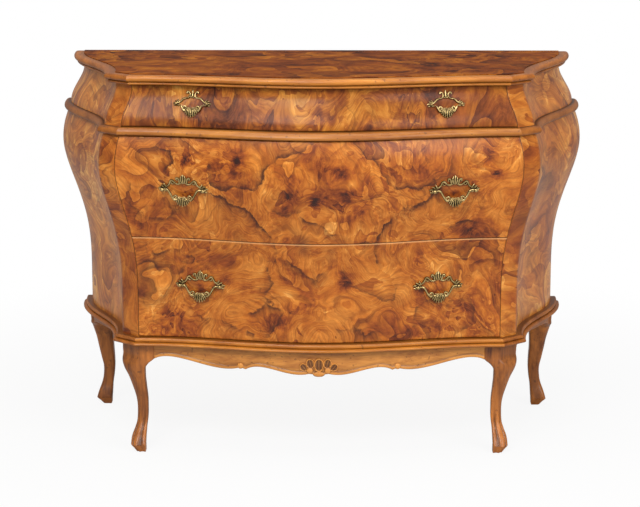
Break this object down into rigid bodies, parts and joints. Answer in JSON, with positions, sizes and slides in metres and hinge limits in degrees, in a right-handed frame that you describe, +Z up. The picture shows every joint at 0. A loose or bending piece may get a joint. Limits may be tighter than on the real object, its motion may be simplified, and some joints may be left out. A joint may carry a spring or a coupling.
{
  "type": "bombe chest of drawers",
  "caption": "Bombe chest with a bowed and swelling burl-veneered body, canted corners, moulded bands, cabriole legs and drawers that slide, each with hanging brass bail handles.",
  "frame": {"origin": "on the floor under the centre of the bounding box", "axes": "+Z up, front faces -Y, +X to the right seen from behind the origin looking along +Y"},
  "size_m": [1.212, 0.525, 0.85],
  "materials": {
    "burl_veneer": "glossy lacquered olive burl veneer",
    "walnut": "satin lacquered solid wood",
    "drawer_wood": "plain unpolished wood",
    "brass": "aged brass"
  },
  "bodies": {
    "carcass": {"top_panel": "burl_veneer", "side_panel_left": "burl_veneer", "side_panel_right": "burl_veneer", "back_panel": "drawer_wood", "corner_post_left": "burl_veneer", "corner_post_right": "burl_veneer", "rear_post_left": "drawer_wood", "rear_post_right": "drawer_wood", "bottom_rail": "drawer_wood", "middle_rail": "drawer_wood", "waist_rail": "drawer_wood", "top_rail": "drawer_wood", "rear_rails": "drawer_wood", "bottom_runners": "drawer_wood", "middle_runners": "drawer_wood", "top_runners": "drawer_wood", "dust_panel": "drawer_wood", "top_moulding_front": "walnut", "top_moulding_left": "walnut", "top_moulding_right": "walnut", "waist_moulding_front": "walnut", "waist_moulding_left": "walnut", "waist_moulding_right": "walnut", "base_moulding_front": "walnut", "base_moulding_left": "walnut", "base_moulding_right": "walnut", "apron_front": "walnut", "apron_left": "walnut", "apron_right": "walnut", "leg_front_left": "walnut", "leg_front_right": "walnut", "leg_rear_left": "walnut", "leg_rear_right": "walnut"},
    "bottom_drawer": {"bottom_drawer_front": "burl_veneer", "bottom_drawer_side_left": "drawer_wood", "bottom_drawer_side_right": "drawer_wood", "bottom_drawer_back": "drawer_wood", "bottom_drawer_bottom": "drawer_wood", "bottom_handle_plates": "brass"},
    "middle_drawer": {"middle_drawer_front": "burl_veneer", "middle_drawer_side_left": "drawer_wood", "middle_drawer_side_right": "drawer_wood", "middle_drawer_back": "drawer_wood", "middle_drawer_bottom": "drawer_wood", "middle_handle_plates": "brass"},
    "top_drawer": {"top_drawer_front": "burl_veneer", "top_drawer_side_left": "drawer_wood", "top_drawer_side_right": "drawer_wood", "top_drawer_back": "drawer_wood", "top_drawer_bottom": "drawer_wood", "top_handle_plates": "brass"},
    "bottom_bail_left": {"bottom_bail_left": "brass"},
    "bottom_bail_right": {"bottom_bail_right": "brass"},
    "middle_bail_left": {"middle_bail_left": "brass"},
    "middle_bail_right": {"middle_bail_right": "brass"},
    "top_bail_left": {"top_bail_left": "brass"},
    "top_bail_right": {"top_bail_right": "brass"}
  },
  "joints": [
    {"name": "bottom_drawer_slide", "type": "slide", "parent": "carcass", "child": "bottom_drawer", "axis": [0, -1, 0], "range_m": [0, 0.28]},
    {"name": "middle_drawer_slide", "type": "slide", "parent": "carcass", "child": "middle_drawer", "axis": [0, -1, 0], "range_m": [0, 0.28]},
    {"name": "top_drawer_slide", "type": "slide", "parent": "carcass", "child": "top_drawer", "axis": [0, -1, 0], "range_m": [0, 0.28]},
    {"name": "bottom_bail_left_swing", "type": "hinge", "parent": "bottom_drawer", "child": "bottom_bail_left", "pos_m": [-0.26241, -0.17143, 0.384], "axis": [-0.9747, 0.2235, 0], "range_deg": [0, 90]},
    {"name": "bottom_bail_right_swing", "type": "hinge", "parent": "bottom_drawer", "child": "bottom_bail_right", "pos_m": [0.26241, -0.17143, 0.384], "axis": [-0.9747, -0.2235, 0], "range_deg": [0, 90]},
    {"name": "middle_bail_left_swing", "type": "hinge", "parent": "middle_drawer", "child": "middle_bail_left", "pos_m": [-0.29465, -0.20896, 0.6056], "axis": [-0.9738, 0.2276, 0], "range_deg": [0, 90]},
    {"name": "middle_bail_right_swing", "type": "hinge", "parent": "middle_drawer", "child": "middle_bail_right", "pos_m": [0.29465, -0.20896, 0.6056], "axis": [-0.9738, -0.2276, 0], "range_deg": [0, 90]},
    {"name": "top_bail_left_swing", "type": "hinge", "parent": "top_drawer", "child": "top_bail_left", "pos_m": [-0.27536, -0.18049, 0.7871], "axis": [-0.9795, 0.2014, 0], "range_deg": [0, 75]},
    {"name": "top_bail_right_swing", "type": "hinge", "parent": "top_drawer", "child": "top_bail_right", "pos_m": [0.27536, -0.18049, 0.7871], "axis": [-0.9795, -0.2014, 0], "range_deg": [0, 75]}
  ]
}
